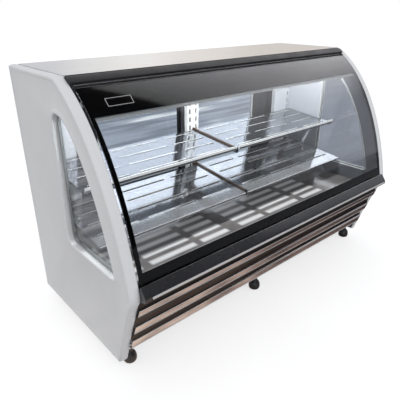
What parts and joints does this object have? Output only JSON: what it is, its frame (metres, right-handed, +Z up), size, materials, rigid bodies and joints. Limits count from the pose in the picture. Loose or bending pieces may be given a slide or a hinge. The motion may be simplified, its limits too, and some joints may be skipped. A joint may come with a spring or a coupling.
{
  "type": "refrigerated deli case",
  "caption": "Refrigerated deli display case with a lift-up curved front glass, slotted shelves, rear sliding doors and windowed end panels.",
  "frame": {"origin": "on the floor, under the middle of the case's bounding box", "axes": "+X along the case to the customer's right, -Y towards the customer, +Z up"},
  "size_m": [2, 0.985, 1.302],
  "materials": {
    "panel_white": "satin",
    "steel_sheet": "satin",
    "polished_steel": "polished",
    "aluminium_trim": "satin",
    "black_plastic": "satin",
    "dark_profile": "satin",
    "clear_glass": "gloss",
    "rubber": "matte",
    "lamp_glass": "satin",
    "foam": "matte",
    "white_paint": "satin",
    "dark_steel": "satin",
    "cast_black": "matte",
    "fan_plastic": "matte",
    "coil_fins": "satin",
    "white_plastic": "satin"
  },
  "bodies": {
    "cabinet": {"base_tray": "white_paint", "bracket_lower_centre": "dark_steel", "bracket_lower_left": "dark_steel", "bracket_lower_right": "dark_steel", "bracket_upper_centre": "dark_steel", "bracket_upper_left": "dark_steel", "bracket_upper_right": "dark_steel", "bumper_profile": "black_plastic", "bumper_strip": "aluminium_trim", "centre_mullion": "black_plastic", "compressor": "cast_black", "condenser_with_shroud": "coil_fins", "controller_housing": "black_plastic", "door_track_bottom": "dark_profile", "door_track_top": "dark_profile", "evaporator_coil": "coil_fins", "evaporator_fan_plate": "steel_sheet", "front_ribbed_panel": "steel_sheet", "lamp_canopy": "white_paint", "lamp_rail": "aluminium_trim", "lamp_tube": "lamp_glass", "left_end_panel": "panel_white", "left_window_gasket": "rubber", "left_window_pane": "clear_glass", "rear_service_panel": "white_paint", "right_end_panel": "panel_white", "right_window_gasket": "rubber", "right_window_pane": "clear_glass", "shelf_standard_centre": "white_paint", "shelf_standard_left": "white_paint", "shelf_standard_right": "white_paint", "top_panel": "steel_sheet", "top_trim_profile": "dark_profile", "tub_inner_liner": "steel_sheet", "tub_insulation": "foam"},
    "front_glass_door": {"front_glass": "clear_glass", "glass_hinge_rail": "dark_profile"},
    "rear_door_left": {"rear_door_left_frame": "black_plastic", "rear_door_left_glass": "clear_glass"},
    "rear_door_right": {"rear_door_right_frame": "black_plastic", "rear_door_right_glass": "clear_glass"},
    "upper_shelf_left": {"shelf_upper_left": "polished_steel"},
    "upper_shelf_right": {"shelf_upper_right": "polished_steel"},
    "lower_shelf_left": {"shelf_lower_left": "polished_steel"},
    "lower_shelf_right": {"shelf_lower_right": "polished_steel"},
    "deck_left": {"deck_pan_left": "polished_steel"},
    "deck_right": {"deck_pan_right": "polished_steel"},
    "evaporator_fan_left_wheel": {"evaporator_fan_left": "fan_plastic"},
    "evaporator_fan_right_wheel": {"evaporator_fan_right": "fan_plastic"},
    "condenser_fan_wheel": {"condenser_fan": "fan_plastic"},
    "drip_tray": {"condensate_tray": "white_plastic"},
    "button_down": {"controller_button_down": "rubber"},
    "button_up": {"controller_button_up": "rubber"},
    "light_rocker": {"light_switch_rocker": "black_plastic"},
    "levelling_foot_1": {"foot_1": "black_plastic"},
    "levelling_foot_2": {"foot_2": "black_plastic"},
    "levelling_foot_3": {"foot_3": "black_plastic"},
    "levelling_foot_4": {"foot_4": "black_plastic"},
    "levelling_foot_5": {"foot_5": "black_plastic"},
    "levelling_foot_6": {"foot_6": "black_plastic"}
  },
  "joints": [
    {"name": "glass_lift", "type": "hinge", "parent": "cabinet", "child": "front_glass_door", "pos_m": [0, -0.056, 1.2625], "axis": [-1, 0, 0], "range_deg": [0, 70]},
    {"name": "rear_door_left_slide", "type": "slide", "parent": "cabinet", "child": "rear_door_left", "axis": [1, 0, 0], "range_m": [0, 0.685]},
    {"name": "rear_door_right_slide", "type": "slide", "parent": "cabinet", "child": "rear_door_right", "axis": [1, 0, 0], "range_m": [-0.685, 0]},
    {"name": "upper_shelf_left_lift", "type": "slide", "parent": "cabinet", "child": "upper_shelf_left", "axis": [0, 0, 1], "range_m": [0, 0.04]},
    {"name": "upper_shelf_right_lift", "type": "slide", "parent": "cabinet", "child": "upper_shelf_right", "axis": [0, 0, 1], "range_m": [0, 0.04]},
    {"name": "lower_shelf_left_lift", "type": "slide", "parent": "cabinet", "child": "lower_shelf_left", "axis": [0, 0, 1], "range_m": [0, 0.04]},
    {"name": "lower_shelf_right_lift", "type": "slide", "parent": "cabinet", "child": "lower_shelf_right", "axis": [0, 0, 1], "range_m": [0, 0.04]},
    {"name": "deck_left_lift", "type": "slide", "parent": "cabinet", "child": "deck_left", "axis": [0, 0, 1], "range_m": [0, 0.06]},
    {"name": "deck_right_lift", "type": "slide", "parent": "cabinet", "child": "deck_right", "axis": [0, 0, 1], "range_m": [0, 0.06]},
    {"name": "evaporator_fan_left_spin", "type": "hinge", "parent": "cabinet", "child": "evaporator_fan_left_wheel", "pos_m": [-0.42, 0.1925, 0.4015], "axis": [0, 1, 0], "continuous": true},
    {"name": "evaporator_fan_right_spin", "type": "hinge", "parent": "cabinet", "child": "evaporator_fan_right_wheel", "pos_m": [0.42, 0.1925, 0.4015], "axis": [0, 1, 0], "continuous": true},
    {"name": "condenser_fan_spin", "type": "hinge", "parent": "cabinet", "child": "condenser_fan_wheel", "pos_m": [-0.67, 0.391, 0.235], "axis": [0, 1, 0], "continuous": true},
    {"name": "drip_tray_slide", "type": "slide", "parent": "cabinet", "child": "drip_tray", "axis": [0, 1, 0], "range_m": [0, 0.25]},
    {"name": "button_down_press", "type": "slide", "parent": "cabinet", "child": "button_down", "axis": [0, -1, 0], "range_m": [0, 0.0015], "stiffness_N_per_m": 800},
    {"name": "button_up_press", "type": "slide", "parent": "cabinet", "child": "button_up", "axis": [0, -1, 0], "range_m": [0, 0.0015], "stiffness_N_per_m": 800},
    {"name": "light_rocker_tip", "type": "hinge", "parent": "cabinet", "child": "light_rocker", "pos_m": [-0.092, 0.484, 0.43], "axis": [1, 0, 0], "range_deg": [0, 14]},
    {"name": "foot_1_turn", "type": "hinge", "parent": "cabinet", "child": "levelling_foot_1", "pos_m": [-0.918, -0.2655, 0.06], "axis": [0, 0, 1], "continuous": true},
    {"name": "foot_2_turn", "type": "hinge", "parent": "cabinet", "child": "levelling_foot_2", "pos_m": [-0.04, -0.2655, 0.06], "axis": [0, 0, 1], "continuous": true},
    {"name": "foot_3_turn", "type": "hinge", "parent": "cabinet", "child": "levelling_foot_3", "pos_m": [0.93, -0.2655, 0.06], "axis": [0, 0, 1], "continuous": true},
    {"name": "foot_4_turn", "type": "hinge", "parent": "cabinet", "child": "levelling_foot_4", "pos_m": [-0.918, 0.3725, 0.06], "axis": [0, 0, 1], "continuous": true},
    {"name": "foot_5_turn", "type": "hinge", "parent": "cabinet", "child": "levelling_foot_5", "pos_m": [-0.04, 0.3725, 0.06], "axis": [0, 0, 1], "continuous": true},
    {"name": "foot_6_turn", "type": "hinge", "parent": "cabinet", "child": "levelling_foot_6", "pos_m": [0.93, 0.3725, 0.06], "axis": [0, 0, 1], "continuous": true}
  ]
}
